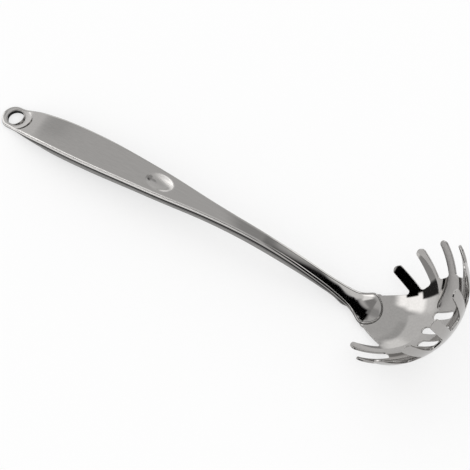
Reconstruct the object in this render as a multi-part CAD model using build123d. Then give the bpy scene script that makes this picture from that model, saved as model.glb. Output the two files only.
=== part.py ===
from build123d import *
import math
import os

# Pasta server of polished stainless steel: a toothed bowl welded to a hollow handle.
# Millimetres and degrees. +Z is up, +X points from the handle to the bowl, +Y is the server's left.
# The server lies as it rests on a table: the table is z = 0, the bowl's round back and the
# handle's tail touch it, and the tines point up. The origin is on the table, under the middle
# of the whole length.

os.makedirs("parts", exist_ok=True)

# Bowl
BOWL_RADIUS = 46.0
BOWL_SHEET = 1.2
BOWL_TURN = 59.6
ROOT_ANGLE = 41.8
TIP_ANGLE = 69.0
SIDE_TINE_ANGLES = (42.7, 68.0, 95.7, 125.0, 152.6)
TINE_WIDTH = 6.5
ROOT_FILLET = 2.4
NOTCH_FILLET = 1.6

# Tab at the back of the bowl, under the handle's tongue
TAB_WIDTH = 24.0
TAB_CORNER_ANGLE = 60.2
TAB_ROOT_WIDTH = 39.6
TAB_ROOT_ANGLE = 36.5
TAB_END_ANGLE = 68.5

# Drain slots
SLOT_WIDTH = 4.6
SLOT_PITCH = 9.8
SIDE_SLOT_LENGTH = 17.0
SIDE_SLOT_SHIFT = 2.0
MIDDLE_SLOT_LENGTH = 22.0
MIDDLE_SLOT_SHIFT = 3.2

# Handle
HANDLE_REACH = 270.0
HANDLE_RISE = 18.3
HANDLE_WIDTH = 23.8
HANDLE_SHEET = 0.9
SHELL_HEIGHT = 3.1
SHELL_EDGE_RADIUS = 1.8
BACK_DEPTH = 6.0
BACK_EDGE_RADIUS = 1.6
INSIDE_EDGE_RADIUS = 0.6
BACK_STEP = 0.35
BACK_END = 8.8
SEAM_GAP = 0.05
TAIL_RADIUS = 8.4
TAIL_SLOPE = 7.0
TOP_HOLLOW_END = 20.0
BACK_HOLLOW_END = 15.0

# Tongue that laps into the bowl
TONGUE_REACH = 5.3
TONGUE_WIDTH = 23.0
LAP_GAP = 0.05

# Hanging hole
HOLE_RADIUS = 5.4
HOLE_SETIN = 9.5
SLEEVE_WALL = 0.7
SLEEVE_LIP = 0.2
SLEEVE_GAP = 0.05
SEAT_LENGTH = 17.0
SEAT_WIDTH = 15.4
SEAT_DEPTH = 0.8
SEAT_SHIFT = 1.9

# Thumb dimple
DIMPLE_LENGTH = 17.6
DIMPLE_WIDTH = 10.6
DIMPLE_DEPTH = 1.5
DIMPLE_PLACE = 149.5

# Welds under the tongue
NUGGET_DIAMETER = 3.0
TAB_NUGGET_SPACING = 11.2
TAB_NUGGET_BACKSET = 2.6
BACK_NUGGET_SPACING = 5.2
BACK_NUGGET_BACKSET = 12.0

# Room that cutting solids reach past what they cut
OVERRUN = 20.0

# Slope in degrees up to which a face counts as a top or bottom face
STEEPEST = 45.0

# Worked out
BOWL_INSIDE = BOWL_RADIUS - BOWL_SHEET
BOWL_MIDDLE = BOWL_RADIUS - BOWL_SHEET / 2
BOWL_X = (HANDLE_REACH - BOWL_RADIUS) / 2
HOLE_X = BOWL_X - HANDLE_REACH + HOLE_SETIN
TAIL_X = BOWL_X - HANDLE_REACH + TAIL_RADIUS
TONGUE_UNDER = BOWL_INSIDE - LAP_GAP
TONGUE_TOP = TONGUE_UNDER - HANDLE_SHEET
SLAB_HALF = (HANDLE_WIDTH + TAIL_RADIUS) / 2

# The bowl's own frame: z out through the middle of the bowl, x towards the handle
bowl_frame = Plane(
    origin=(BOWL_X, 0, BOWL_RADIUS),
    x_dir=(-math.cos(math.radians(BOWL_TURN)), 0, -math.sin(math.radians(BOWL_TURN))),
    z_dir=(math.sin(math.radians(BOWL_TURN)), 0, -math.cos(math.radians(BOWL_TURN))),
)

# The bowl's outline is drawn on a plane of this share of its radius, as seen from the ball's
# centre, and a cone from that centre through the outline cuts the edges square to the sheet.
LOW_PLANE_share = 0.3
HIGH_PLANE_share = 1.1
LOW_PLANE = LOW_PLANE_share * BOWL_RADIUS
HIGH_PLANE = HIGH_PLANE_share * BOWL_RADIUS

# How far the tines' outlines start inside the root circle, and how near two corners must be to
# count as one, as shares of the low plane's height
TINE_START_share = 0.25
NEAR_share = 0.1
SAME_PLACE_share = 0.001


def seen_from_centre(angle, sideways, azimuth=0.0):
    """Place on the low plane of a point of the ball, angle degrees from its middle."""
    across = math.sqrt(BOWL_MIDDLE**2 - sideways**2)
    a = math.radians(angle)
    scale = LOW_PLANE / (across * math.cos(a))
    flat = Vector(scale * across * math.sin(a), scale * sideways)
    return flat.rotate(Axis.Z, azimuth)


def tine_outline(azimuth):
    """One tine from inside the root circle to its full-round tip."""
    half = TINE_WIDTH / 2
    round_turn = math.degrees(half / BOWL_MIDDLE)
    tip_centre = TIP_ANGLE - round_turn
    tip = []
    for turn in (-90, -45, 0, 45, 90):
        t = math.radians(turn)
        angle = tip_centre + round_turn * math.cos(t)
        tip.append(seen_from_centre(angle, half * math.sin(t), azimuth))
    right_root = seen_from_centre(ROOT_ANGLE, -half, azimuth)
    left_root = seen_from_centre(ROOT_ANGLE, half, azimuth)
    right_side = (tip[0] - right_root).normalized()
    left_side = (left_root - tip[-1]).normalized()
    right_start = right_root - right_side * (TINE_START_share * LOW_PLANE)
    left_start = left_root + left_side * (TINE_START_share * LOW_PLANE)
    edges = [
        Line(right_start, tip[0]),
        Spline(*tip, tangents=[right_side, left_side]),
        Line(tip[-1], left_start),
        Line(left_start, right_start),
    ]
    return make_face(edges)


def tab_outline():
    """The tab, wide where it leaves the bowl and round-ended under the tongue."""
    left_corner = seen_from_centre(TAB_CORNER_ANGLE, TAB_WIDTH / 2)
    right_corner = seen_from_centre(TAB_CORNER_ANGLE, -TAB_WIDTH / 2)
    left_root = seen_from_centre(TAB_ROOT_ANGLE, TAB_ROOT_WIDTH / 2)
    right_root = seen_from_centre(TAB_ROOT_ANGLE, -TAB_ROOT_WIDTH / 2)
    end = seen_from_centre(TAB_END_ANGLE, 0)
    left_inside = left_root - (left_corner - left_root) / 4
    right_inside = right_root - (right_corner - right_root) / 4
    edges = [
        Line(right_inside, right_corner),
        ThreePointArc(right_corner, end, left_corner),
        Line(left_corner, left_inside),
        Line(left_inside, right_inside),
    ]
    return make_face(edges)


def tine_azimuths():
    """Directions of the tines round the bowl, 0 being the handle's."""
    return [180.0] + list(SIDE_TINE_ANGLES) + [-a for a in SIDE_TINE_ANGLES]


def bowl_outline():
    """Cap, tab and tines together, with rounded gap roots."""
    root_circle = LOW_PLANE * math.tan(math.radians(ROOT_ANGLE))
    outline = Sketch() + Circle(root_circle) + tab_outline()
    for azimuth in tine_azimuths():
        outline += tine_outline(azimuth)
    flat_scale = 3 * LOW_PLANE / (2 * BOWL_RADIUS)
    root_reach = seen_from_centre(TAB_ROOT_ANGLE, TAB_ROOT_WIDTH / 2).length
    near_root = (root_circle + root_reach) / 2
    near = NEAR_share * LOW_PLANE
    same = SAME_PLACE_share * LOW_PLANE
    corners = outline.vertices()
    roots = [v for v in corners if abs(Vector(v).length - root_circle) < same]
    notches = [v for v in corners if v not in roots and Vector(v).length < near_root + near]
    outline = fillet(roots, ROOT_FILLET * flat_scale)
    kept = [
        v
        for v in outline.vertices()
        if any((Vector(v) - Vector(n)).length < same for n in notches)
    ]
    return fillet(kept, NOTCH_FILLET * flat_scale)


def slot_cutter(length, shift, sideways):
    """A drain slot through the bowl's middle, long towards the handle."""
    slot = Pos(shift, sideways) * SlotOverall(length, SLOT_WIDTH)
    return Pos(0, 0, BOWL_RADIUS / 2) * extrude(slot, BOWL_RADIUS)


def bowl_sheet():
    """The bowl before it is welded."""
    ball = Sphere(BOWL_RADIUS) - Sphere(BOWL_INSIDE)
    low = bowl_outline().face()
    high = Pos(0, 0, HIGH_PLANE) * scale(low, HIGH_PLANE_share / LOW_PLANE_share)
    cone = loft([Pos(0, 0, LOW_PLANE) * low, high], ruled=True)
    sheet = ball & cone
    sheet -= slot_cutter(MIDDLE_SLOT_LENGTH, MIDDLE_SLOT_SHIFT, 0)
    for side in (-1, 1):
        sheet -= slot_cutter(SIDE_SLOT_LENGTH, SIDE_SLOT_SHIFT, side * SLOT_PITCH)
    return bowl_frame * sheet


# Stations along the handle, from behind the tail to the neck. Each holds: distance behind the
# bowl's centre as a share of HANDLE_REACH, height of the seam as a share of HANDLE_RISE, height
# of the top shell as a share of SHELL_HEIGHT, how far its face is dished across (1 is the bowl's
# own curve), the same for the seam, and the back shell's depth as a share of BACK_DEPTH.
STATION_shares = (
    (1.060, 0.040, 0.70, -0.05, 0.0, 0.11),
    (1.000, 0.055, 0.70, -0.10, 0.0, 0.16),
    (0.982, 0.067, 0.71, -0.12, 0.0, 0.18),
    (0.965, 0.085, 0.72, -0.15, 0.0, 0.21),
    (0.945, 0.165, 0.76, -0.25, 0.0, 0.32),
    (0.915, 0.305, 0.84, -0.32, 0.0, 0.56),
    (0.880, 0.430, 0.92, -0.35, 0.0, 0.78),
    (0.840, 0.545, 1.00, -0.35, 0.0, 1.06),
    (0.790, 0.655, 1.00, -0.35, 0.0, 1.14),
    (0.710, 0.795, 1.00, -0.35, 0.0, 1.16),
    (0.620, 0.895, 1.00, -0.35, 0.0, 1.07),
    (0.520, 0.960, 1.00, -0.35, 0.0, 1.02),
    (0.420, 0.998, 1.00, -0.35, 0.0, 1.08),
    (0.350, 0.998, 1.00, -0.30, 0.0, 1.18),
    (0.290, 0.960, 1.00, -0.20, 0.0, 1.28),
    (0.240, 0.865, 1.00, -0.05, 0.0, 1.26),
    (0.190, 0.725, 0.97, 0.15, 0.0, 1.12),
    (0.150, 0.580, 0.90, 0.40, 0.0, 0.93),
    (0.110, 0.422, 0.75, 0.70, 0.3, 0.78),
    (0.075, 0.285, 0.50, 0.90, 0.7, 0.65),
)

# Half widths of the handle's outline: share of HANDLE_REACH, share of half HANDLE_WIDTH
SIDE_shares = (
    (0.920, 0.835),
    (0.880, 0.920),
    (0.770, 1.000),
    (0.700, 0.965),
    (0.615, 0.860),
    (0.525, 0.715),
    (0.440, 0.525),
    (0.370, 0.415),
    (0.300, 0.355),
    (0.220, 0.328),
    (0.150, 0.340),
    (0.115, 0.360),
    (0.085, 0.415),
)

# The neck's flare and the tongue's round end: share of TONGUE_REACH, share of half TONGUE_WIDTH
FLARE_shares = (
    (-3.17, 0.500),
    (-2.19, 0.635),
    (-1.47, 0.835),
    (-0.81, 0.985),
    (0.00, 0.845),
    (0.60, 0.575),
)

# The back shell's narrowing under the neck: share of BACK_END, share of half TONGUE_WIDTH
BACK_END_shares = (
    (-2.20, 0.48),
    (-1.60, 0.44),
    (-1.18, 0.28),
)


def arc_sag(radius):
    """How far an arc of this radius rises from its middle to the slab's side."""
    return radius - math.sqrt(radius**2 - SLAB_HALF**2)


def dished_sag(dish):
    """The same for a cross-curve given as a share of the bowl's own curve."""
    if dish == 0:
        return 0.0
    sag = arc_sag(BOWL_INSIDE / abs(dish))
    return math.copysign(sag, dish)


def ball_stations(radius):
    """Where a surface follows the bowl: x, middle height and side height at a few places."""
    rows = []
    for n in range(-2, 3):
        x = n * TONGUE_REACH
        ring = math.sqrt(radius**2 - x**2)
        rows.append((x, BOWL_RADIUS - ring, BOWL_RADIUS - ring + arc_sag(ring)))
    return rows


def seam_rows(drop):
    """The surface between the two shells, lowered by drop."""
    rows = []
    for along, rise, _, _, dish, _ in STATION_shares:
        z = rise * HANDLE_RISE - drop
        rows.append((-along * HANDLE_REACH, z, z + dished_sag(dish)))
    return rows + ball_stations(TONGUE_UNDER + drop)


def face_rows(drop):
    """The handle's top face, lowered by drop."""
    rows = []
    for along, rise, height, dish, _, _ in STATION_shares:
        z = rise * HANDLE_RISE + height * SHELL_HEIGHT - drop
        rows.append((-along * HANDLE_REACH, z, z + dished_sag(dish)))
    return rows + ball_stations(TONGUE_TOP + drop)


def back_rows(lift):
    """The back shell's underside, raised by lift."""
    rows = []
    for along, rise, _, _, _, depth in STATION_shares:
        z = rise * HANDLE_RISE - depth * BACK_DEPTH + lift
        rows.append((-along * HANDLE_REACH, z, z))
    outside = BOWL_RADIUS - lift
    for n in range(-2, 1):
        x = n * TONGUE_REACH
        z = BOWL_RADIUS - math.sqrt(outside**2 - x**2)
        rows.append((x, z, z))
    return rows


def slab(rows, far_z):
    """Solid between a lengthwise surface, given by its rows, and the level far_z."""
    sections = []
    for x, middle, side in rows:
        place = Plane(origin=(BOWL_X + x, 0, 0), x_dir=(0, 1, 0), z_dir=(1, 0, 0))
        right = (-SLAB_HALF, side)
        left = (SLAB_HALF, side)
        if middle == side:
            across = Line(right, left)
        else:
            across = ThreePointArc(right, (0, middle), left)
        edges = [
            across,
            Line(left, (SLAB_HALF, far_z)),
            Line((SLAB_HALF, far_z), (-SLAB_HALF, far_z)),
            Line((-SLAB_HALF, far_z), right),
        ]
        sections.append(place * make_face(edges))
    return loft(sections)


def handle_outline(inset):
    """Plan of the top shell from the round tail to the round tongue, inset all round."""
    tail = TAIL_RADIUS - inset
    side = [(TAIL_X, tail)]
    for along, half in SIDE_shares:
        side.append((BOWL_X - along * HANDLE_REACH, half * HANDLE_WIDTH / 2 - inset))
    for along, half in FLARE_shares:
        reach = along * TONGUE_REACH
        if along > -1:
            reach -= inset * (along + 1) / 2
        side.append((BOWL_X + reach, half * TONGUE_WIDTH / 2 - inset))
    side.append((BOWL_X + TONGUE_REACH - inset, 0))
    left = Spline(*side, tangents=[(1, 0), (0, -1)])
    edges = [left, mirror(left, Plane.XZ), CenterArc((TAIL_X, 0), tail, 90, 180)]
    return make_face(edges)


def back_outline(inset):
    """Plan of the back shell, a little inside the top shell's."""
    tail = TAIL_RADIUS - BACK_STEP - inset
    side = [(TAIL_X, tail)]
    for along, half in SIDE_shares:
        y = half * HANDLE_WIDTH / 2 - BACK_STEP - inset
        side.append((BOWL_X - along * HANDLE_REACH, y))
    for along, half in BACK_END_shares:
        y = half * TONGUE_WIDTH / 2 - inset
        side.append((BOWL_X + along * BACK_END - inset, y))
    side.append((BOWL_X - BACK_END - inset, 0))
    left = Spline(*side, tangents=[(1, 0), (0, -1)])
    edges = [left, mirror(left, Plane.XZ), CenterArc((TAIL_X, 0), tail, 90, 180)]
    return make_face(edges)


def prism(outline):
    """The outline as an upright solid, through the whole height of the handle."""
    return Pos(0, 0, -OVERRUN) * extrude(outline, 2 * OVERRUN + HANDLE_RISE)


def rounded(solid, level, radius):
    """Rounds the edge round the top (level 1) or bottom (level -1) face of a prism."""
    flat = [f for f in solid.faces() if abs(f.normal_at().Z) > math.cos(math.radians(STEEPEST))]
    face = max(flat, key=lambda f: level * f.center().Z)
    return fillet(face.edges(), radius)


def face_height(distance):
    """Height of the top face's middle, this far behind the bowl's centre."""
    along = distance / HANDLE_REACH
    for far, near in zip(STATION_shares, STATION_shares[1:]):
        if far[0] >= along >= near[0]:
            part = (far[0] - along) / (far[0] - near[0])
            rise = far[1] + part * (near[1] - far[1])
            height = far[2] + part * (near[2] - far[2])
            return rise * HANDLE_RISE + height * SHELL_HEIGHT
    raise ValueError("not along the handle")


def tail_frame():
    """Frame on the top face at the hanging hole, square to the tail."""
    slope = math.radians(TAIL_SLOPE)
    return Plane(
        origin=(HOLE_X, 0, face_height(BOWL_X - HOLE_X)),
        x_dir=(math.cos(slope), 0, math.sin(slope)),
        z_dir=(-math.sin(slope), 0, math.cos(slope)),
    )


def egg(length, width, depth):
    """Press that leaves an oval hollow of this size in a face at z = 0."""
    half = 2 * depth
    spread = 1 / math.sqrt(1 - (depth / half) ** 2)
    ball = Sphere(half)
    across = (spread * length / 2 / half, spread * width / 2 / half, 1)
    return Pos(0, 0, half - depth) * scale(ball, across)


def hole_seat(drop):
    """Hollow round the hanging hole, lowered by drop."""
    return tail_frame() * Pos(SEAT_SHIFT, 0, -drop) * egg(SEAT_LENGTH, SEAT_WIDTH, SEAT_DEPTH)


def thumb_dimple(drop):
    """Hollow for the thumb, lowered by drop."""
    z = face_height(DIMPLE_PLACE) - drop
    return Pos(BOWL_X - DIMPLE_PLACE, 0, z) * egg(DIMPLE_LENGTH, DIMPLE_WIDTH, DIMPLE_DEPTH)


def top_solid(inset, radius):
    """The top shell's outside as a solid block, or with an inset its inside."""
    body = prism(handle_outline(inset)) & slab(face_rows(inset), -OVERRUN)
    body = rounded(body, 1, radius)
    return body - hole_seat(inset) - thumb_dimple(inset)


def back_solid(inset, radius):
    """The back shell's outside as a solid block, or with an inset its inside."""
    body = prism(back_outline(inset)) & slab(back_rows(inset), HANDLE_RISE + OVERRUN)
    return rounded(body, -1, radius)


def behind(distance):
    """Everything further behind the bowl's centre than this distance."""
    length = HANDLE_REACH + OVERRUN
    middle = BOWL_X - distance - length / 2
    return Pos(middle, 0, 0) * Box(length, 2 * SLAB_HALF, 4 * OVERRUN)


def nugget(backset, sideways):
    """A spot weld, half a sheet deep in the tongue and half a sheet in what lies under it."""
    into_tongue = HANDLE_SHEET / 2
    into_tab = LAP_GAP + BOWL_SHEET / 2
    pin = Pos(0, 0, -TONGUE_UNDER + (into_tongue - into_tab) / 2)
    pin *= Cylinder(NUGGET_DIAMETER / 2, into_tongue + into_tab)
    pitch = math.degrees(backset / BOWL_INSIDE)
    roll = math.degrees(sideways / BOWL_INSIDE)
    return Pos(BOWL_X, 0, BOWL_RADIUS) * Rot(0, pitch, 0) * Rot(roll, 0, 0) * pin


def weld_nuggets():
    """The five welds by name."""
    return {
        "tongue_weld_middle": nugget(0, 0),
        "tongue_weld_left": nugget(TAB_NUGGET_BACKSET, TAB_NUGGET_SPACING / 2),
        "tongue_weld_right": nugget(TAB_NUGGET_BACKSET, -TAB_NUGGET_SPACING / 2),
        "back_weld_left": nugget(BACK_NUGGET_BACKSET, BACK_NUGGET_SPACING / 2),
        "back_weld_right": nugget(BACK_NUGGET_BACKSET, -BACK_NUGGET_SPACING / 2),
    }


def hanging_hole_sleeve(face, back):
    """Tube through both shells, cut level with the underside and a lip proud of the dish."""
    outside = HOLE_RADIUS + SLEEVE_WALL
    tube = tail_frame() * (Cylinder(outside, OVERRUN) - Cylinder(HOLE_RADIUS, 2 * OVERRUN))
    return tube & face & back


def handle_top_shell(welds):
    """Pressed top half of the handle with the tongue."""
    outside = top_solid(0, SHELL_EDGE_RADIUS) - slab(seam_rows(0), -2 * OVERRUN)
    inside = top_solid(HANDLE_SHEET, INSIDE_EDGE_RADIUS)
    shell = outside - (inside & behind(TOP_HOLLOW_END))
    shell -= tail_frame() * Cylinder(HOLE_RADIUS + SLEEVE_WALL + SLEEVE_GAP, 2 * OVERRUN)
    for weld in welds:
        shell -= weld
    return shell


def handle_back_shell(welds):
    """Pressed channel that closes the handle from below."""
    outside = back_solid(0, BACK_EDGE_RADIUS) & slab(seam_rows(SEAM_GAP), -2 * OVERRUN)
    inside = back_solid(HANDLE_SHEET, INSIDE_EDGE_RADIUS)
    shell = outside - (inside & behind(BACK_HOLLOW_END))
    shell -= tail_frame() * Cylinder(HOLE_RADIUS + SLEEVE_WALL + SLEEVE_GAP, 2 * OVERRUN)
    for weld in welds:
        shell -= weld
    return shell


def bowl(welds):
    """Toothed bowl with its drain slots and tab."""
    sheet = bowl_sheet()
    for weld in welds:
        sheet -= weld
    return sheet


def save(name, shape):
    """Writes one node."""
    solid = shape.solids()[0]
    solid.label = name
    export_step(solid, f"parts/{name}.step")


nuggets = weld_nuggets()
tab_welds = [nuggets[n] for n in nuggets if n.startswith("tongue")]
back_welds = [nuggets[n] for n in nuggets if n.startswith("back")]
lip_face = slab(face_rows(SEAT_DEPTH - SLEEVE_LIP), -OVERRUN)
level_back = slab(back_rows(SLEEVE_GAP), HANDLE_RISE + OVERRUN)

save("bowl", bowl(tab_welds))
save("handle_top_shell", handle_top_shell(nuggets.values()))
save("handle_back_shell", handle_back_shell(back_welds))
save("hanging_hole_sleeve", hanging_hole_sleeve(lip_face, level_back))
for name, nugget_solid in nuggets.items():
    save(name, nugget_solid)
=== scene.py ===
import bpy
import math
import numpy as np
from mathutils import Matrix, Vector
from mathutils.geometry import delaunay_2d_cdt


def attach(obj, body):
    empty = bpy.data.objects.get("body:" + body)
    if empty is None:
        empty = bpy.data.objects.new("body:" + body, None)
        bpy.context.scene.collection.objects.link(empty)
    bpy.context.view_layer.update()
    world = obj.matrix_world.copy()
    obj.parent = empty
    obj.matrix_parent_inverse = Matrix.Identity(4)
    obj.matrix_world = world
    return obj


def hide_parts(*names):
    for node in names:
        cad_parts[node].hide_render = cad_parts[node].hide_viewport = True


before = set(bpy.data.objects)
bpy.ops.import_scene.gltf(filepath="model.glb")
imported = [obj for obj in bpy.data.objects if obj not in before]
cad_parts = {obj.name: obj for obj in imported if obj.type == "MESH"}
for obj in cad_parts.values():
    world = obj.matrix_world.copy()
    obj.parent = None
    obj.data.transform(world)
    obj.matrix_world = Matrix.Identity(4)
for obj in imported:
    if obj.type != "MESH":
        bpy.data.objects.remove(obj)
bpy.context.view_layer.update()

# Millimetres, in the CAD frame. The sizes are the CAD model's own, under the same names. Only
# the face's hollow in STATION_shares differs a little, by 0.1 mm at the shaft's edges, so that
# the shaft reflects the room as it does in the photograph, and the rims of the dimple and of the
# hole's seat are softer.

# Bowl
BOWL_RADIUS, BOWL_SHEET = 46.0, 1.2
BOWL_TURN = math.radians(59.6)

# Handle
HANDLE_REACH, HANDLE_RISE, HANDLE_WIDTH, HANDLE_SHEET = 270.0, 18.3, 23.8, 0.9
SHELL_HEIGHT, SHELL_EDGE_RADIUS = 3.1, 1.8
BACK_DEPTH, BACK_EDGE_RADIUS, BACK_STEP, BACK_END = 6.0, 1.6, 0.35, 8.8
SEAM_GAP = 0.05
TAIL_RADIUS, TAIL_SLOPE = 8.4, math.radians(7.0)

# Tongue that laps into the bowl
TONGUE_REACH, TONGUE_WIDTH, LAP_GAP = 5.3, 23.0, 0.05

# Hanging hole, and the length, width and depth of the seat round it
HOLE_RADIUS, HOLE_SETIN, SLEEVE_WALL, SLEEVE_LIP = 5.4, 9.5, 0.7, 0.2
SEAT, SEAT_SHIFT = (17.0, 15.4, 0.8), 1.9

# Length, width and depth of the thumb dimple, and how far behind the bowl's centre it lies
DIMPLE, DIMPLE_PLACE = (17.6, 10.6, 1.5), 149.5

# Worked out
BOWL_INSIDE = BOWL_RADIUS - BOWL_SHEET
BOWL_X = (HANDLE_REACH - BOWL_RADIUS) / 2
BOWL_CENTRE = np.array([BOWL_X, 0.0, BOWL_RADIUS])
HOLE_X = BOWL_X - HANDLE_REACH + HOLE_SETIN
TAIL_X = BOWL_X - HANDLE_REACH + TAIL_RADIUS
TONGUE_UNDER = BOWL_INSIDE - LAP_GAP
TONGUE_TOP = TONGUE_UNDER - HANDLE_SHEET
SLAB_HALF = (HANDLE_WIDTH + TAIL_RADIUS) / 2

# How far the smooth meshes lie inside the CAD solids: the outlines, the bowl's outer skin, the
# back shell's skin and the sleeve's lower end
SAFE, SKIN, BACK_LIFT, SLEEVE_SETBACK = 0.03, 0.02, 0.01, 0.05

# Softness of the rims of the dimple and of the seat round the hole, and the smallest wall
DIMPLE_SOFTNESS, SEAT_SOFTNESS, LEAST_WALL = 0.28, 0.45, 0.02

# Roundings that the CAD solids leave out: the bowl's cut edges and the sleeve's lip
EDGE_ROUND, EDGE_STEPS, LIP_ROUND, LIP_STEPS = 0.28, 5, 0.2, 13

# Mesh steps: on the face, on the back, between the shells, on the bowl, round outlines, round
# the bowl's edges, and the number of points round the hanging hole
FACE_MESH, BACK_MESH, SEAM_MESH, BOWL_MESH, PLAN_STEP, RIM_STEP = 0.75, 1.0, 1.5, 0.95, 0.6, 0.4
HOLE_POINTS = 120
# How far apart rows of mesh points lie and how far the points keep from edges, as shares of
# their step, and how many points are worked on at once
ROW_share, CLEAR_share, CHUNK = 0.866, 0.6, 1000

# Sections along the handle, from behind the tail to the neck: distance behind the bowl's centre
# (of HANDLE_REACH), height of the seam (of HANDLE_RISE), height of the face over it (of
# SHELL_HEIGHT), hollow of the face and of the seam (BOWL_INSIDE over their own radius, negative
# where they bulge) and depth of the back (of BACK_DEPTH)
STATION_shares = (
    (1.060, 0.040, 0.70, -0.05, 0.0, 0.11),
    (1.000, 0.055, 0.70, -0.10, 0.0, 0.16),
    (0.982, 0.067, 0.71, -0.12, 0.0, 0.18),
    (0.965, 0.085, 0.72, -0.15, 0.0, 0.21),
    (0.945, 0.165, 0.76, -0.25, 0.0, 0.32),
    (0.915, 0.305, 0.84, -0.32, 0.0, 0.56),
    (0.880, 0.430, 0.92, -0.35, 0.0, 0.78),
    (0.840, 0.545, 1.00, -0.35, 0.0, 1.06),
    (0.790, 0.655, 1.00, -0.35, 0.0, 1.14),
    (0.710, 0.795, 1.00, -0.35, 0.0, 1.16),
    (0.620, 0.895, 1.00, -0.35, 0.0, 1.07),
    (0.520, 0.960, 1.00, -0.35, 0.0, 1.02),
    (0.420, 0.998, 1.00, -0.30, 0.0, 1.08),
    (0.350, 0.998, 1.00, -0.15, 0.0, 1.18),
    (0.290, 0.960, 1.00, 0.15, 0.0, 1.28),
    (0.240, 0.865, 1.00, 0.45, 0.0, 1.26),
    (0.190, 0.725, 0.97, 0.60, 0.0, 1.12),
    (0.150, 0.580, 0.90, 0.70, 0.0, 0.93),
    (0.110, 0.422, 0.75, 0.80, 0.3, 0.78),
    (0.075, 0.285, 0.50, 0.90, 0.7, 0.65),
)
# Half widths of the handle's outline: share of HANDLE_REACH, share of half HANDLE_WIDTH
SIDE_shares = (
    (0.920, 0.835), (0.880, 0.920), (0.770, 1.000), (0.700, 0.965), (0.615, 0.860),
    (0.525, 0.715), (0.440, 0.525), (0.370, 0.415), (0.300, 0.355), (0.220, 0.328),
    (0.150, 0.340), (0.115, 0.360), (0.085, 0.415),
)
# The neck's flare and the tongue's round end: share of TONGUE_REACH, share of half TONGUE_WIDTH
FLARE_shares = (
    (-3.17, 0.500), (-2.19, 0.635), (-1.47, 0.835), (-0.81, 0.985), (0.00, 0.845), (0.60, 0.575),
)
# The back shell's narrowing under the neck: share of BACK_END, share of half TONGUE_WIDTH
BACK_END_shares = ((-2.20, 0.48), (-1.60, 0.44), (-1.18, 0.28))


class Curve:
    """Smooth cubic curve through values at rising places, with optional end slopes."""

    def __init__(self, x, y, first=None, last=None):
        x, y = np.asarray(x, float), np.asarray(y, float)
        y = y.reshape(len(x), -1)
        n, h = len(x), np.diff(x)
        m = np.zeros((n, n))
        r = np.zeros((n, y.shape[1]))
        for i in range(1, n - 1):
            m[i, i - 1], m[i, i], m[i, i + 1] = h[i - 1], 2 * (h[i - 1] + h[i]), h[i]
            r[i] = 6 * ((y[i + 1] - y[i]) / h[i] - (y[i] - y[i - 1]) / h[i - 1])
        m[0, 0] = m[-1, -1] = 1
        if first is not None:
            m[0, 0], m[0, 1] = 2 * h[0], h[0]
            r[0] = 6 * ((y[1] - y[0]) / h[0] - np.asarray(first))
        if last is not None:
            m[-1, -1], m[-1, -2] = 2 * h[-1], h[-1]
            r[-1] = 6 * (np.asarray(last) - (y[-1] - y[-2]) / h[-1])
        self.x, self.y, self.m, self.h = x, y, np.linalg.solve(m, r), h

    def __call__(self, q):
        q = np.asarray(q, float)
        i = np.clip(np.searchsorted(self.x, q) - 1, 0, len(self.h) - 1)
        h = self.h[i][..., None]
        a = (self.x[i + 1] - q)[..., None] / h
        b = 1 - a
        out = a * self.y[i] + b * self.y[i + 1]
        return out + ((a**3 - a) * self.m[i] + (b**3 - b) * self.m[i + 1]) * h**2 / 6


def arc_sag(radius):
    """Height that a section of this radius rises or falls by its slab's edge."""
    return radius - math.sqrt(radius**2 - SLAB_HALF**2)


def dished(dish):
    """Signed height of a dish that is given as a share."""
    return math.copysign(arc_sag(BOWL_INSIDE / abs(dish)), dish) if dish else 0.0


def ball_rows(radius):
    """Rows along the tongue, on a ball round the bowl's centre."""
    rows = []
    for n in range(-2, 3):
        x = n * TONGUE_REACH
        ring = math.sqrt(radius**2 - x**2)
        rows.append((x, BOWL_RADIUS - ring, arc_sag(ring)))
    return rows


def face_rows():
    rows = [
        (-a * HANDLE_REACH, r * HANDLE_RISE + h * SHELL_HEIGHT, dished(d))
        for a, r, h, d, _, _ in STATION_shares
    ]
    return np.array(rows + ball_rows(TONGUE_TOP))


def seam_rows():
    rows = [
        (-a * HANDLE_REACH, r * HANDLE_RISE, dished(d)) for a, r, _, _, d, _ in STATION_shares
    ]
    return np.array(rows + ball_rows(TONGUE_UNDER))


def back_rows():
    rows = [
        (-a * HANDLE_REACH, r * HANDLE_RISE - d * BACK_DEPTH, 0.0)
        for a, r, _, _, _, d in STATION_shares
    ]
    for n in range(-2, 1):
        x = n * TONGUE_REACH
        rows.append((x, BOWL_RADIUS - math.sqrt(BOWL_RADIUS**2 - x**2), 0.0))
    return np.array(rows)


class Level:
    """Height of a lengthwise surface, from its rows."""

    def __init__(self, rows):
        self.curve = Curve(rows[:, 0] + BOWL_X, rows[:, 1:])

    def __call__(self, x, y):
        z, sag = np.moveaxis(self.curve(x), -1, 0)
        bend = 2 * sag / (SLAB_HALF**2 + sag**2)
        return z + bend * y**2 / (1 + np.sqrt(np.maximum(1 - (bend * y) ** 2, 0.01)))


face_level, seam_level, back_level = Level(face_rows()), Level(seam_rows()), Level(back_rows())


def egg_depth(x, y, z, size):
    """How far a point lies over the skin of a pressed hollow of this length, width and depth.

    The point is given from the middle of the hollow's rim. The hollow is the lower part of an
    egg whose half height is twice the hollow's depth. Towards the egg's widest place, where its
    side would turn upright, its root goes on as a straight line."""
    length, width, depth = size
    half = 2 * depth
    spread = 1 / math.sqrt(1 - (depth / half) ** 2)
    s = 1 - (2 * x / (spread * length)) ** 2 - (2 * y / (spread * width)) ** 2
    end = 0.2
    line = end + (s - end**2) / (2 * end)
    root = np.where(s > end**2, np.sqrt(np.maximum(s, end**2)), line)
    return z - (half - depth - half * root)


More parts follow.
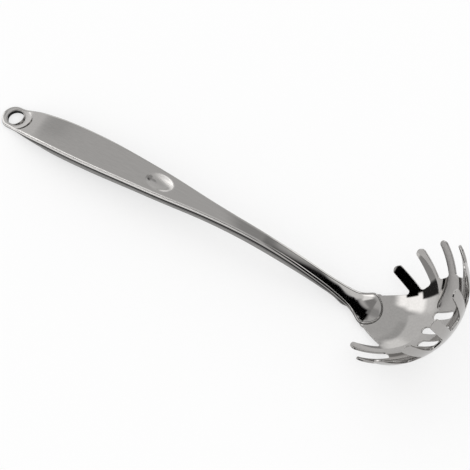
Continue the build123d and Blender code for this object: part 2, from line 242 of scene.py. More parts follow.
def soft(depth, softness):
    """A depth that fades in over its rim, where a plain one begins with a sharp bend at zero."""
    return 0.5 * (depth + np.sqrt(depth**2 + 4 * softness**2))


def face_middle(distance):
    """Height of the face's middle between two sections, on a straight line."""
    along = distance / HANDLE_REACH
    for far, near in zip(STATION_shares, STATION_shares[1:]):
        if far[0] >= along >= near[0]:
            part = (far[0] - along) / (far[0] - near[0])
            rise, shell = (far[i] + part * (near[i] - far[i]) for i in (1, 2))
            return rise * HANDLE_RISE + shell * SHELL_HEIGHT


HOLE_Z = face_middle(BOWL_X - HOLE_X)
DIMPLE_X, DIMPLE_Z = BOWL_X - DIMPLE_PLACE, face_middle(DIMPLE_PLACE)
COS, SIN = math.cos(TAIL_SLOPE), math.sin(TAIL_SLOPE)


def to_tail(x, y, z):
    """Place in the frame square to the tail at the hanging hole."""
    dx, dz = x - HOLE_X, z - HOLE_Z
    return dx * COS + dz * SIN, y, dz * COS - dx * SIN


def top_face(x, y):
    """Height of the handle's face with its dimple and the seat round the hole."""
    z = face_level(x, y)
    z = z - soft(egg_depth(x - DIMPLE_X, y, z - DIMPLE_Z, DIMPLE), DIMPLE_SOFTNESS)
    u, v, w = to_tail(x, y, z)
    return z - soft(egg_depth(u - SEAT_SHIFT, v, w, SEAT), SEAT_SOFTNESS) / COS


def slopes(level, x, y, step=0.02):
    """Upward unit normals of a level."""
    gx = (level(x + step, y) - level(x - step, y)) / (2 * step)
    gy = (level(x, y + step) - level(x, y - step)) / (2 * step)
    n = np.stack([-gx, -gy, np.ones_like(gx)], -1)
    return n / np.linalg.norm(n, axis=-1, keepdims=True)


def resample(points, step):
    """A closed chain of points, smoothly curved through the given ones, at even steps."""
    p = np.asarray(points, float)
    n = len(p)
    reach = 6
    wrapped = np.concatenate([p[-reach:], p, p[: reach + 1]])
    d = np.linalg.norm(np.diff(wrapped, axis=0), axis=1)
    t = np.concatenate([[0], np.cumsum(d)])
    curve = Curve(t, wrapped)
    count = max(24, int(round((t[reach + n] - t[reach]) / step)))
    return curve(np.linspace(t[reach], t[reach + n], count, endpoint=False))


def evened(points, step):
    """An open chain at even steps, both ends kept."""
    p = np.asarray(points, float)
    t = np.concatenate([[0], np.cumsum(np.linalg.norm(np.diff(p, axis=0), axis=1))])
    q = np.linspace(0, t[-1], int(round(t[-1] / step)) + 1)
    return np.stack([np.interp(q, t, p[:, i]) for i in range(p.shape[1])], -1)


# Points along an outline's side and quarter tail before it is cut into even steps
SIDE_POINTS, TAIL_POINTS = 4000, 60


def plan(side, tail):
    """Closed outline, anticlockwise, mirrored from its left side, with a round tail."""
    side = np.array(side)
    t = np.concatenate([[0], np.cumsum(np.linalg.norm(np.diff(side, axis=0), axis=1))])
    curve = Curve(t, side, first=(1, 0), last=(0, -1))
    fine = curve(np.linspace(0, t[-1], SIDE_POINTS))
    turn = np.radians(np.linspace(180, 90, TAIL_POINTS, endpoint=False))
    round_end = np.stack([TAIL_X + tail * np.cos(turn), tail * np.sin(turn)], -1)
    upper = evened(np.concatenate([round_end, fine]), PLAN_STEP)
    lower = upper[1:-1] * (1, -1)
    return np.concatenate([upper, lower[::-1]])[::-1]


def handle_side(inset):
    """Places on the handle's left side from the tail to the neck, moved in."""
    side = [(TAIL_X, TAIL_RADIUS - inset)]
    for a, h in SIDE_shares:
        side.append((BOWL_X - a * HANDLE_REACH, h * HANDLE_WIDTH / 2 - inset))
    return side


def top_plan():
    side = handle_side(0)
    side += [(BOWL_X + a * TONGUE_REACH, h * TONGUE_WIDTH / 2) for a, h in FLARE_shares]
    return plan(side + [(BOWL_X + TONGUE_REACH, 0)], TAIL_RADIUS)


def back_plan():
    side = handle_side(BACK_STEP)
    side += [(BOWL_X + a * BACK_END, h * TONGUE_WIDTH / 2) for a, h in BACK_END_shares]
    return plan(side + [(BOWL_X - BACK_END, 0)], TAIL_RADIUS - BACK_STEP)


def outward(loop):
    """Unit normals of an anticlockwise closed chain in the plane."""
    t = np.roll(loop, -1, 0) - np.roll(loop, 1, 0)
    n = np.stack([t[:, 1], -t[:, 0]], -1)
    return n / np.linalg.norm(n, axis=1, keepdims=True)


def inside(points, loops):
    """Whether each point is inside an odd number of the loops."""
    out = np.zeros(len(points), bool)
    for loop in loops:
        a, b = loop, np.roll(loop, -1, 0)
        for k in range(0, len(points), CHUNK):
            x, y = points[k:k + CHUNK, 0:1], points[k:k + CHUNK, 1:2]
            cross = (a[:, 1] > y) != (b[:, 1] > y)
            with np.errstate(divide="ignore", invalid="ignore"):
                at = a[:, 0] + (y - a[:, 1]) * (b[:, 0] - a[:, 0]) / (b[:, 1] - a[:, 1])
            out[k:k + CHUNK] ^= (np.sum(cross & (x < at), 1) % 2).astype(bool)
    return out


def nearest(points, rim):
    """Distance of each point from the nearest point of the rim."""
    out = np.empty(len(points))
    for k in range(0, len(points), CHUNK):
        d = points[k:k + CHUNK, None] - rim[None]
        out[k:k + CHUNK] = np.sqrt((d**2).sum(-1)).min(1)
    return out


def grid(loops, step):
    """Evenly spread points inside the loops, clear of their edges."""
    rim = np.concatenate(loops)
    lo, hi = rim.min(0), rim.max(0)
    rows = []
    for j, y in enumerate(np.arange(lo[1], hi[1], step * ROW_share)):
        xs = np.arange(lo[0] + (j % 2) * step / 2, hi[0], step)
        rows.append(np.stack([xs, np.full_like(xs, y)], -1))
    p = np.concatenate(rows)
    p = p[inside(p, loops)]
    return p[nearest(p, rim) > CLEAR_share * step]


def fill(loops, points):
    """Anticlockwise triangles over the region inside the first loop and outside the others."""
    flat = np.concatenate(list(loops) + [points])
    edges, start = [], 0
    for loop in loops:
        n = len(loop)
        edges += [(start + i, start + (i + 1) % n) for i in range(n)]
        start += n
    v, _, f, *_ = delaunay_2d_cdt([Vector(p) for p in flat], edges, [], 0, 1e-9, False)
    assert len(v) == len(flat)
    f = np.array([list(t) for t in f])
    f = f[inside(flat[f].mean(1), loops)]
    a, b, c = flat[f[:, 0]], flat[f[:, 1]], flat[f[:, 2]]
    area = (b[:, 0] - a[:, 0]) * (c[:, 1] - a[:, 1]) - (b[:, 1] - a[:, 1]) * (c[:, 0] - a[:, 0])
    f[area < 0] = f[area < 0][:, ::-1]
    return flat, f


class Sheet:
    """A mesh put together from patches that carry their own normals."""

    def __init__(self):
        self.v, self.n, self.f, self.painted = [], [], [], []

    def patch(self, v, n, f, painted=0.0):
        base = sum(len(a) for a in self.v)
        self.v.append(np.asarray(v, float))
        self.n.append(np.asarray(n, float))
        self.painted.append(np.broadcast_to(painted, len(v)))
        self.f += [tuple(int(i) + base for i in t) for t in f]

    def band(self, rings, normals, painted=None):
        """Quads between successive closed rings, each with its own painted light value: painted
        shade where positive, painted highlight where negative.
        """
        k, n = len(rings), len(rings[0])
        quads = []
        for r in range(k - 1):
            for i in range(n):
                j = (i + 1) % n
                quads.append((r * n + i, r * n + j, (r + 1) * n + j, (r + 1) * n + i))
        painted = np.concatenate([np.broadcast_to(d, n) for d in (painted or [0.0] * k)])
        self.patch(np.concatenate(rings), np.concatenate(normals), quads, painted)

    def make(self, name, node, slot, material):
        v, n = np.concatenate(self.v), np.concatenate(self.n)
        f = []
        for face in self.f:
            p = v[list(face)]
            way = np.cross(p[1] - p[0], p[2] - p[0])
            if np.linalg.norm(way) < 1e-12:
                way = np.cross(p[2] - p[0], p[-1] - p[0])
            f.append(face if np.dot(way, n[list(face)].mean(0)) >= 0 else face[::-1])
        mesh = bpy.data.meshes.new(name)
        mesh.from_pydata((v * 0.001).tolist(), [], f)
        mesh.polygons.foreach_set("use_smooth", [True] * len(mesh.polygons))
        n = n / np.maximum(np.linalg.norm(n, axis=1, keepdims=True), 1e-9)
        mesh.normals_split_custom_set_from_vertices(n.tolist())
        # Per-vertex painted light: painted shade where positive, painted highlight where negative
        painted_light = mesh.attributes.new("painted_light", "FLOAT", "POINT")
        painted_light.data.foreach_set("value", np.concatenate(self.painted).astype(np.float32))
        mesh.update()
        obj = bpy.data.objects.new(name, mesh)
        bpy.context.scene.collection.objects.link(obj)
        mesh.materials.append(material)
        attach(obj, "root")
        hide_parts(node)
        return obj


# Painted light values: 1 is painted shade, 0 is plain steel and -1 is painted highlight. Up the
#  rounded edge of the face, ring by ring: the painted shade a plain edge has, and the painted
#  highlight and painted shade of the near edge.
EDGE_PAINTED_SHADE = (1.0, 0.6, 0.3, 0.0, 0.0, 0.0, 0.0, 0.0, 0.0, 0.0)
NEAR_EDGE_PAINTED_LIGHT = (-1.0, -0.8, 0.5, 1.0, 1.0, 1.0, 0.85, 0.65, 0.45, 0.25)
# The near edge's painted highlight and shade end at this place along X and fade out over this
# length before it
NEAR_PAINT_END, NEAR_PAINT_FADE = 40.0, 80.0
# Painted shade in the seam. It covers the face's whole wall and fades out over this length down the
# back's wall.
SEAM_PAINTED_SHADE, SEAM_SHADE_REACH = 1.0, 3.0
# Painted shade inside the sleeve, at its lower end and under its lip
SLEEVE_PAINTED_SHADE = (1.0, 0.95)
# How much painted highlight the dimple's far wall, the rest of its walls and the seat get
FAR_WALL_HIGHLIGHT, DIMPLE_HIGHLIGHT, SEAT_HIGHLIGHT = 0.7, 0.12, 0.3
# Which way the far wall faces, how fast the painted highlight grows with a wall's slope, and what
# is
#  first taken off it on any wall and on the far wall
FAR_WALL_WAY, WALL_GAIN, WALL_START, FAR_WALL_START = (-0.6, -0.8), 6, 0.3, 0.4
# How far past their rims the hollows get painted highlight, as a share of their size, and how fast
# it fades
DIMPLE_MARGIN_share, SEAT_MARGIN_share, MARGIN_FADE = 0.3, 0.25, 4


def hole_turns():
    return np.linspace(0, 2 * math.pi, HOLE_POINTS, endpoint=False)


def hole_ring(radius, level, rounds=12):
    """Ring of this radius round the hanging hole's axis, where it meets the level.

    Each round brings the ring nearer to the level."""
    u, v = radius * np.cos(hole_turns()), radius * np.sin(hole_turns())
    w = np.zeros(HOLE_POINTS)
    for _ in range(rounds):
        z = HOLE_Z + u * SIN + w * COS
        w = w + (level(HOLE_X + u * COS - w * SIN, v) - z) / COS
    return np.stack([HOLE_X + u * COS - w * SIN, v, HOLE_Z + u * SIN + w * COS], -1)


def hole_normals():
    c, s = np.cos(hole_turns()), np.sin(hole_turns())
    return np.stack([c * COS, s, c * SIN], -1)


def rolled(sheet, loop, level, other, radius, way, steps=9):
    """A shell's wall from the other level, with painted shade at the seam, and its rounded edge.

    Way is 1 for a shell that faces up and -1 for one that faces down. Returns the loop where
    the face starts and the wall's far edge."""
    normal = outward(loop)
    side = np.concatenate([normal, np.zeros((len(loop), 1))], 1)
    x, y = loop[:, 0], loop[:, 1]
    height = np.maximum(way * (level(x, y) - other(x, y)), LEAST_WALL)
    first = np.arcsin(np.clip(1 - height / radius, 0, 1))
    rings, normals = [], []
    for k in range(steps + 1):
        a = first + (math.pi / 2 - first) * k / steps
        inset, drop = radius * (1 - np.cos(a)), radius * (1 - np.sin(a))
        p = loop - normal * inset[:, None]
        z = level(p[:, 0], p[:, 1]) - way * drop
        rings.append(np.concatenate([p, z[:, None]], 1))
        flat = slopes(level, p[:, 0], p[:, 1]) * way
        normals.append(np.cos(a)[:, None] * side + np.sin(a)[:, None] * flat)
    wall = rings[0].copy()
    wall[:, 2] = other(wall[:, 0], wall[:, 1])
    middle = wall.copy()
    middle[:, 2] += way * np.minimum(SEAM_SHADE_REACH, np.abs(wall[:, 2] - rings[0][:, 2]))
    # Painted shade over the face's whole wall, fading down the back's wall from the seam
    higher = SEAM_PAINTED_SHADE if way > 0 else 0.0
    sheet.band([wall, middle, rings[0]], [side, side, side], [SEAM_PAINTED_SHADE, higher, higher])
    if way > 0:
        # The near edge gets painted highlight at the foot of its rounding and painted shade above
        # it; the rest of the edge gets painted shade at its foot
        near = np.clip((NEAR_PAINT_END - x) / NEAR_PAINT_FADE, 0, 1) * (normal[:, 1] < 0)
        edge_paint = [(1 - near) * plain - near * near_light for plain, near_light in zip(EDGE_PAINTED_SHADE, NEAR_EDGE_PAINTED_LIGHT)]
        sheet.band(rings, normals, edge_paint)
    else:
        sheet.band(rings, normals)
    return rings[-1][:, :2], wall


def cover(sheet, loops, level, way, step, painted=None):
    """A patch on a level between the loops, facing up or down."""
    flat, f = fill(loops, grid(loops, step))
    v = np.concatenate([flat, level(flat[:, 0], flat[:, 1])[:, None]], 1)
    n = slopes(level, flat[:, 0], flat[:, 1]) * way
    sheet.patch(v, n, f, painted(v, n) if painted else 0.0)


def inside_oval(x, y, size, margin):
    """1 over a hollow's oval, fading to 0 at a margin, as a share of its size, past its rim."""
    length, width, _ = size
    oval = np.hypot(x / (0.5 * length), y / (0.5 * width))
    return np.clip(MARGIN_FADE * (1 + margin - oval), 0.0, 1.0)


def face_painted_highlight(v, n):
    """Painted light values of the face: its two hollows get painted highlight, the dimple most on
    its far wall.
    """
    x, y = FAR_WALL_WAY
    steep = np.clip(WALL_GAIN * np.hypot(n[:, 0], n[:, 1]) - WALL_START, 0.0, 1.0)
    far = np.clip(WALL_GAIN * (x * n[:, 0] + y * n[:, 1]) - FAR_WALL_START, 0.0, 1.0)
    dimple = np.maximum(FAR_WALL_HIGHLIGHT * far, DIMPLE_HIGHLIGHT * steep)
    dimple = dimple * inside_oval(v[:, 0] - DIMPLE_X, v[:, 1], DIMPLE, DIMPLE_MARGIN_share)
    along, across, _ = to_tail(v[:, 0], v[:, 1], v[:, 2])
    seat = SEAT_HIGHLIGHT * inside_oval(along - SEAT_SHIFT, across, SEAT, SEAT_MARGIN_share)
    return -np.maximum(dimple, seat)


def make_shell(plan_loop, level, other, radius, way, step, painted=None):
    """A shell of the handle as a closed skin: wall and rounded edge, face, hole and seam side."""
    sheet = Sheet()
    loop = plan_loop - outward(plan_loop) * SAFE
    inner, wall = rolled(sheet, loop, level, other, radius, way)
    hole = hole_ring(HOLE_RADIUS + SLEEVE_WALL, level)
    cover(sheet, [inner, hole[:, :2]], level, way, step, painted)
    far_hole = hole_ring(HOLE_RADIUS + SLEEVE_WALL, other)
    sheet.band([hole, far_hole], [-hole_normals()] * 2)
    cover(sheet, [wall[:, :2], far_hole[:, :2]], other, -way, SEAM_MESH)
    return sheet


def make_top(material):
    sheet = make_shell(top_plan(), top_face, seam_level, SHELL_EDGE_RADIUS, 1, FACE_MESH, face_painted_highlight)
    return sheet.make("top_shell", "handle_top_shell", "handle_steel", material)


def back_seam(x, y):
    return seam_level(x, y) - SEAM_GAP


def back_face(x, y):
    return back_level(x, y) + BACK_LIFT


def make_back(material):
    sheet = make_shell(back_plan(), back_face, back_seam, BACK_EDGE_RADIUS, -1, BACK_MESH)
    return sheet.make("back_shell", "handle_back_shell", "back_steel", material)


def sleeve_low(x, y):
    return back_level(x, y) + SLEEVE_SETBACK


def make_sleeve(material):
    sheet = Sheet()
    axis = np.array([-SIN, 0, COS])
    out = hole_normals()
    r0, r1 = HOLE_RADIUS, HOLE_RADIUS + SLEEVE_WALL
    rings, normals = [], []
    for a in np.linspace(0, math.pi, LIP_STEPS):
        radius = (r0 + r1) / 2 - (r1 - r0) / 2 * math.cos(a)
        drop = SEAT[2] - SLEEVE_LIP + LIP_ROUND * (1 - math.sin(a))
        rings.append(hole_ring(radius, lambda x, y: face_level(x, y) - drop))
        normals.append(-math.cos(a) * out + math.sin(a) * axis)
    sheet.band(rings, normals)
    bottom, down = [hole_ring(r, sleeve_low) for r in (r0, r1)], np.tile(-axis, (HOLE_POINTS, 1))
    # Painted shade on the sleeve's inner wall
    sheet.band([bottom[0], rings[0]], [-out, -out], SLEEVE_PAINTED_SHADE)
    sheet.band([bottom[1], rings[-1]], [out, out])
    sheet.band(bottom, [down, down])
    return sheet.make("hole_sleeve", "hanging_hole_sleeve", "sleeve_steel", material)


# The bowl's own axes: out through its middle, and towards the handle
OUT = np.array([math.sin(BOWL_TURN), 0, -math.cos(BOWL_TURN)])
BACK = np.array([-math.cos(BOWL_TURN), 0, -math.sin(BOWL_TURN)])
SIDE = np.cross(OUT, BACK)


def to_bowl(p):
    q = p - BOWL_CENTRE
    return np.stack([q @ BACK, q @ SIDE, q @ OUT], -1)


def from_bowl(q):
    return BOWL_CENTRE + q[:, 0:1] * BACK + q[:, 1:2] * SIDE + q[:, 2:3] * OUT


# How near the inside a vertex of the CAD bowl must be to lie on it, and the digits after the
# point in which the places of one vertex agree. Chains of fewer points or of less length are no
# edges of the bowl.
ON_INSIDE, PLACE_DIGITS, FEWEST_POINTS, SHORTEST_LOOP = 0.01, 3, 12, 25.0


def chain_length(chain):
    return np.linalg.norm(np.diff(chain, axis=0), axis=1).sum()


def bowl_loops():
    """The edges of the bowl's inside, read off the CAD node: the outline first, then the slots."""
    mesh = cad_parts["bowl"].data
    co = np.array([v.co for v in mesh.vertices]) * 1000
    key, where = {}, []
    for p in np.round(co, PLACE_DIGITS):
        where.append(key.setdefault(tuple(p), len(key)))
    place = np.zeros((len(key), 3))
    for i, k in enumerate(where):
        place[k] = co[i]
    q = to_bowl(place)
    on_inside = np.abs(np.linalg.norm(q, axis=1) - BOWL_INSIDE) < ON_INSIDE
    edges = {}
    mesh.calc_loop_triangles()
    for t in mesh.loop_triangles:
        a = [where[i] for i in t.vertices]
        if all(on_inside[i] for i in a):
            edges.update(dict.fromkeys(zip(a, a[1:] + a[:1])))
    border = {i: j for (i, j) in edges if (j, i) not in edges}
    loops = []
    while border:
        here, chain = next(iter(border)), []
        while here in border:
            chain.append(here)
            here = border.pop(here)
        loops.append(q[chain])
    loops.sort(key=lambda c: -chain_length(c))
    return [c for c in loops if len(c) >= FEWEST_POINTS and chain_length(c) >= SHORTEST_LOOP]


def units(v):
    return v / np.linalg.norm(v, axis=1, keepdims=True)


def flattened(ring):
    """A ring on the bowl thrown onto a flat under the bowl from its centre."""
    return ring[:, :2] / ring[:, 2:3]


def bowl_edge(chain, radius, way):
    """Rounding between the bowl's skin and a cut edge. Way is 1 inside the bowl, -1 outside."""
    radial = units(chain)
    across = units(np.cross(np.roll(chain, -1, 0) - np.roll(chain, 1, 0), radial))
    rings, normals = [], []
    for k in range(EDGE_STEPS + 1):
        a = math.pi / 2 * k / EDGE_STEPS
        inset, lift = EDGE_ROUND * (1 - math.sin(a)) + SAFE, EDGE_ROUND * (1 - math.cos(a))
        rings.append(units(chain - across * inset) * (radius + way * lift))
        normals.append(across * math.sin(a) - way * radial * math.cos(a))
    return rings[::way], normals[::way]


def bowl_skin(sheet, loops, radius, way):
    """The bowl's skin between its edges, from points spread evenly over the ball."""
    rim = []
    for loop in loops:
        r = np.linalg.norm(loop, axis=1, keepdims=True)
        rim.append(loop / r * 2 * np.sin(np.arctan(r) / 2))
    p = grid(rim, BOWL_MESH / radius)
    r = np.linalg.norm(p, axis=1, keepdims=True)
    p = p / np.maximum(r, 1e-9) * np.tan(2 * np.arcsin(r / 2))
    flat, f = fill(loops, p)
    d = units(np.concatenate([flat, np.ones((len(flat), 1))], 1))
    sheet.patch(d * radius, d * -way, f)


def make_bowl(material):
    sheet = Sheet()
    inner_flat, outer_flat = [], []
    r_skin = BOWL_RADIUS - SKIN
    for number, loop in enumerate(bowl_loops()):
        loop = resample(loop, RIM_STEP)
        if number == 0:
            # the outline is cut square to the ball, and the slots along the bowl's own axis
            loop_out = loop * (BOWL_RADIUS / BOWL_INSIDE)
        else:
            loop_out = loop.copy()
            loop_out[:, 2] = np.sqrt(BOWL_RADIUS**2 - loop[:, 0] ** 2 - loop[:, 1] ** 2)
        x, y = flattened(loop).T
        area = 0.5 * np.sum(x * np.roll(y, -1) - np.roll(x, -1) * y)
        if (area > 0) != (number == 0):
            loop, loop_out = loop[::-1], loop_out[::-1]
        rings, normals = bowl_edge(loop, BOWL_INSIDE, 1)
        outer_rings, outer_normals = bowl_edge(loop_out, r_skin, -1)
        sheet.band(rings + outer_rings, normals + outer_normals)
        inner_flat.append(flattened(rings[0]))
        outer_flat.append(flattened(outer_rings[-1]))
    bowl_skin(sheet, inner_flat, BOWL_INSIDE, 1)
    bowl_skin(sheet, outer_flat, r_skin, -1)
    sheet.v = [from_bowl(v) for v in sheet.v]
    sheet.n = [n[:, 0:1] * BACK + n[:, 1:2] * SIDE + n[:, 2:3] * OUT for n in sheet.n]
    return sheet.make("bowl_sheet", "bowl", "bowl_steel", material)


def node(tree, kind, settings=(), **inputs):
    """Adds a shader node. Inputs are numbers, colours or the sockets that feed them."""
    n = tree.nodes.new(kind)
    for key, value in dict(settings).items():
        setattr(n, key, value)
    for key, value in inputs.items():
        socket = n.inputs[int(key[1:])] if key[1:].isdigit() else n.inputs[key.replace("_", " ")]
        if isinstance(value, bpy.types.NodeSocket):
            tree.links.new(value, socket)
        else:
            socket.default_value = value
    return n


def sums(tree, operation, a, b=0.0, c=0.0):
    """One step of arithmetic on numbers or sockets."""
    n = tree.nodes.new("ShaderNodeMath")
    n.operation = operation
    for socket, value in zip(n.inputs, (a, b, c)):
        if isinstance(value, bpy.types.NodeSocket):
            tree.links.new(value, socket)
        else:
            socket.default_value = value
    return n.outputs[0]


def ramp(tree, value, low, high, to_low=0.0, to_high=1.0):
    """A smooth step of a value from one range to another."""
    n = node(tree, "ShaderNodeMapRange", {"interpolation_type": "SMOOTHSTEP"})
    for i, x in enumerate((value, low, high, to_low, to_high)):
        if isinstance(x, bpy.types.NodeSocket):
            tree.links.new(x, n.inputs[i])
        else:
            n.inputs[i].default_value = x
    return n.outputs[0]


# Colours of the steel, darker on the back shell as painted shade, of painted shade and of painted
# highlight
STEEL, SHADED_BACK_STEEL = (0.4, 0.389, 0.378), (0.285, 0.278, 0.271)
PAINTED_SHADE, PAINTED_HIGHLIGHT = (0.02, 0.02, 0.02, 1), (0.82, 0.8, 0.78, 1)
# The steel's colour at the polishing lines, from the darkest to the lightest
LINE_SHADES = (0.96, 1.03)
# What smudges, polishing lines, and painted shade or painted highlight add to the roughness at most
SMUDGE_ROUGH, LINE_ROUGH, PAINTED_LIGHT_ROUGH = 0.03, 0.02, 0.42
# Heights of the pressed waviness and of the polishing lines in metres, and the lines' strength
WAVE_HEIGHT, LINE_HEIGHT, LINE_STRENGTH = 0.00002, 0.00001, 0.05


def blend(tree, share, first, second):
    """Two colours mixed, the second by its share."""
    settings = {"data_type": "RGBA"}
    return node(tree, "ShaderNodeMix", settings, i0=share, i6=first, i7=second).outputs[2]


def noise(tree, place, scale, detail, rough):
    n = node(
        tree, "ShaderNodeTexNoise", Vector=place, Scale=scale, Detail=detail, Roughness=rough
    )
    return n.outputs[0]


def steel(name, along, colour=STEEL, rough=0.03):
    """Polished stainless steel: fine polishing lines one way, faint smudges, a slight pressed
    waviness, painted shade and painted highlights. Along is the lines' scale on each axis."""
    m = bpy.data.materials.new(name)
    m.use_nodes = True
    tree = m.node_tree
    shader = tree.nodes["Principled BSDF"]
    shader.inputs["Specular IOR Level"].default_value = 0.0
    place = node(tree, "ShaderNodeTexCoord").outputs["Object"]
    stretched = node(tree, "ShaderNodeMapping", Vector=place, Scale=along).outputs[0]
    lines = noise(tree, stretched, scale=1.0, detail=3.0, rough=0.6)
    smudge = noise(tree, place, scale=45.0, detail=4.0, rough=0.55)
    broad = noise(tree, place, scale=28.0, detail=1.0, rough=0.4)
    # Painted shade where the value is positive, painted highlight where it is negative
    painted_light = node(tree, "ShaderNodeAttribute", {"attribute_name": "painted_light"}).outputs["Fac"]
    shaded = sums(tree, "MAXIMUM", painted_light, 0.0)
    highlighted = sums(tree, "MAXIMUM", sums(tree, "MULTIPLY", painted_light, -1.0), 0.0)
    tree.links.new(sums(tree, "SUBTRACT", 1.0, shaded), shader.inputs["Metallic"])
    smudged = ramp(tree, smudge, low=0.45, high=0.75)
    lined = ramp(tree, lines, low=0.35, high=0.75)
    marks = sums(tree, "MULTIPLY_ADD", smudged, SMUDGE_ROUGH, rough)
    marks = sums(tree, "MULTIPLY_ADD", lined, LINE_ROUGH, marks)
    marks = sums(tree, "MULTIPLY_ADD", sums(tree, "ABSOLUTE", painted_light), PAINTED_LIGHT_ROUGH, marks)
    tree.links.new(marks, shader.inputs["Roughness"])
    shades = [(*[c * shade for c in colour], 1) for shade in LINE_SHADES]
    tone = blend(tree, ramp(tree, lines, low=0.3, high=0.7), *shades)
    tone = blend(tree, highlighted, blend(tree, shaded, tone, PAINTED_SHADE), PAINTED_HIGHLIGHT)
    tree.links.new(tone, shader.inputs["Base Color"])
    wavy = node(tree, "ShaderNodeBump", Strength=1.0, Distance=WAVE_HEIGHT, Height=broad)
    fine = node(
        tree, "ShaderNodeBump", Strength=LINE_STRENGTH, Distance=LINE_HEIGHT, Height=lines,
        Normal=wavy.outputs[0],
    )
    tree.links.new(fine.outputs[0], shader.inputs["Normal"])
    return m


materials = {
    "bowl_steel": steel("bowl_steel", along=(700, 700, 700)),
    "handle_steel": steel("handle_steel", along=(60, 1800, 1800), rough=0.045),
    # The back shell's darker colour is painted shade on the same steel
    "back_steel": steel("back_steel", along=(60, 1800, 1800), colour=SHADED_BACK_STEEL, rough=0.12),
    "sleeve_steel": steel("sleeve_steel", along=(900, 900, 900), rough=0.12),
    "weld_steel": steel("weld_steel", along=(900, 900, 900), rough=0.45),
}
make_bowl(materials["bowl_steel"])
make_top(materials["handle_steel"])
make_back(materials["back_steel"])
make_sleeve(materials["sleeve_steel"])
for name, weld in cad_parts.items():
    if "weld" in name:
        weld.data.materials.clear()
        weld.data.materials.append(materials["weld_steel"])


# The camera, fitted to the photograph: where it stands, in metres, the picture's directions to
# the right and towards the camera, and its focal length and picture in pixels
CAMERA_PLACE = (0.1483, -0.2414, 0.5482)
PICTURE_RIGHT, PICTURE_BACK = (0.8586, 0.5123, 0.0195), (0.2162, -0.3962, 0.8924)
FOCAL_PIXELS, PICTURE_PIXELS, SENSOR = 1000, 470, 36.0


def add_camera():
    camera = bpy.data.objects.new("camera", bpy.data.cameras.new("camera"))
    bpy.context.scene.collection.objects.link(camera)
    right = Vector(PICTURE_RIGHT).normalized()
    back = Vector(PICTURE_BACK).normalized()
    over = back.cross(right).normalized()
    right = over.cross(back)
    turn = Matrix((right, over, back)).transposed().to_4x4()
    camera.matrix_world = Matrix.Translation(CAMERA_PLACE) @ turn
    camera.data.sensor_width = SENSOR
    camera.data.lens = SENSOR * FOCAL_PIXELS / PICTURE_PIXELS
    camera.data.clip_start = 0.01
    camera.data.clip_end = 20
    bpy.context.scene.camera = camera


# Half the floor's side in metres, its colour, and how much of the floor's white is its own, as
# seen by the camera: it keeps the shadow pale
FLOOR_HALF, PAPER, PAPER_GLOW = 3.0, (0.97, 0.97, 0.97, 1), 0.6


def add_floor():
    mesh = bpy.data.meshes.new("floor")
    s = FLOOR_HALF
    mesh.from_pydata([(-s, -s, 0), (s, -s, 0), (s, s, 0), (-s, s, 0)], [], [(0, 1, 2, 3)])
    floor = bpy.data.objects.new("floor", mesh)
    bpy.context.scene.collection.objects.link(floor)
    m = bpy.data.materials.new("floor")
    m.use_nodes = True
    tree = m.node_tree
    shader = tree.nodes["Principled BSDF"]
    shader.inputs["Base Color"].default_value = PAPER
    shader.inputs["Roughness"].default_value = 1.0
    shader.inputs["Specular IOR Level"].default_value = 0.0
    white = node(tree, "ShaderNodeEmission", Color=(1, 1, 1, 1), Strength=1.0)
    seen = node(tree, "ShaderNodeLightPath").outputs["Is Camera Ray"]
    mix = node(tree, "ShaderNodeMixShader", i0=sums(tree, "MULTIPLY", seen, PAPER_GLOW))
    tree.links.new(shader.outputs[0], mix.inputs[1])
    tree.links.new(white.outputs[0], mix.inputs[2])
    tree.links.new(mix.outputs[0], tree.nodes["Material Output"].inputs["Surface"])
    mesh.materials.append(m)


# The room as the polished steel sees it: its brightness at the horizon and from this height in
# degrees upwards, and what the whole is multiplied by
ROOM_LOW, ROOM_HIGH, ROOM_HEIGHT, ROOM_GAIN = 0.9, 0.72, 40.0, 1.125

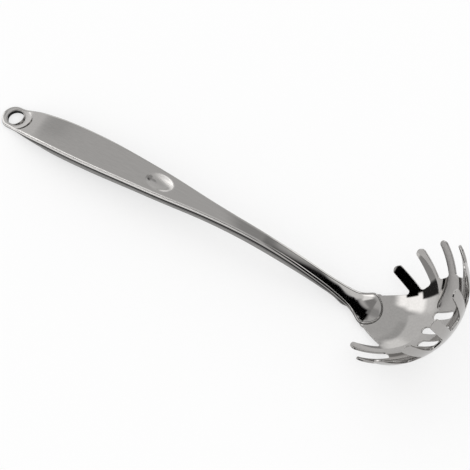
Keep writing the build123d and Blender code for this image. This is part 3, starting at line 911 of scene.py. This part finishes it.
# What stands round the table, seen only by the polished steel: white soft boxes and dark cards.
# Each: direction round the table and height above it, half width and half height, tilt and
# softness of its edge, all in degrees, and how bright it is.
CARDS = (
    # over the handle and the neck
    (80, 22, 10, 22, 0, 2, 1.9),
    (97, 65, 20, 7, 0, 4, 0.46),
    (66, 76, 24, 8, 0, 3, 0.38),
    (66, 53.5, 25, 9.8, 10, 3, 0.3),
    (33, 73, 12, 8, 0, 3, 1.5),
    (28, 58, 9, 9, 0, 3, 1.1),
    (14, 74, 11, 9, 0, 3, 2.3),
    (10, 52, 10, 11, 0, 2, 0.02),
    (62, 51.5, 20, 8.8, 10, 1.5, 0.0),
    (83, 50, 5, 8, 0, 1.5, 0.0),
    (44, 49, 7, 6, 15, 1.5, 0.0),
    (289, 24, 12, 25, 0, 3, 0.0),
    (311, 62, 34, 15, 0, 3, 0.0),
    # behind the bowl
    (134, 27, 24, 7, 29, 5, 0.62),
    (106, 2, 9, 12, 0, 3, 0.42),
    (150, 8, 32, 19, 29, 2, 0.92),
    (127, 4, 9, 14, 0, 5, 1.25),
    # left of the bowl
    (190, 18, 13, 14, 0, 7, 1.15),
    (193, 34, 15, 13, 0, 5, 1.95),
    (201, 53, 19, 10, 0, 7, 1.95),
    (206.5, 12.5, 9.5, 13.5, 0, 1.5, 0.03),
    # in front
    (234, 0, 19, 13, 0, 3, 0.46),
    (256, 14, 7, 24, 0, 2, 1.1),
    (236, 41.5, 32, 9, 0, 1.5, 0.0),
    (220, 30, 12, 6, 0, 1.5, 0.0),
)


def add_light():
    world = bpy.data.worlds.new("world")
    bpy.context.scene.world = world
    world.use_nodes = True
    tree = world.node_tree
    way = node(tree, "ShaderNodeTexCoord").outputs["Generated"]
    xyz = node(tree, "ShaderNodeSeparateXYZ", Vector=way)
    turn = sums(tree, "ARCTAN2", xyz.outputs[1], xyz.outputs[0])
    turn = sums(tree, "MULTIPLY", turn, 180 / math.pi)
    turn = sums(tree, "MODULO", sums(tree, "ADD", turn, 360.0), 360.0)
    height = sums(tree, "MULTIPLY", sums(tree, "ARCSINE", xyz.outputs[2]), 180 / math.pi)
    light = ramp(tree, height, 0.0, ROOM_HEIGHT, ROOM_LOW, ROOM_HIGH)
    for around, above, wide, high, tilt, soft_edge, bright in CARDS:
        c, s = math.cos(math.radians(tilt)), math.sin(math.radians(tilt))
        da = sums(tree, "SUBTRACT", turn, around)
        de = sums(tree, "SUBTRACT", height, above)
        u = sums(tree, "MULTIPLY_ADD", da, c, sums(tree, "MULTIPLY", de, s))
        v = sums(tree, "MULTIPLY_ADD", de, c, sums(tree, "MULTIPLY", da, -s))
        u = ramp(tree, sums(tree, "ABSOLUTE", u), wide - soft_edge, wide + soft_edge, 1.0, 0.0)
        v = ramp(tree, sums(tree, "ABSOLUTE", v), high - soft_edge, high + soft_edge, 1.0, 0.0)
        mask = sums(tree, "MULTIPLY", u, v)
        light = sums(tree, "MULTIPLY_ADD", sums(tree, "SUBTRACT", bright, light), mask, light)
    light = sums(tree, "MULTIPLY", light, ROOM_GAIN)
    glossy = node(tree, "ShaderNodeLightPath").outputs["Is Glossy Ray"]
    shown = sums(tree, "MULTIPLY_ADD", sums(tree, "SUBTRACT", light, 1.0), glossy, 1.0)
    back = tree.nodes["Background"]
    back.inputs["Color"].default_value = (1, 1, 1, 1)
    tree.links.new(shown, back.inputs["Strength"])


add_camera()
add_floor()
add_light()
bpy.context.scene.view_settings.view_transform = "Standard"
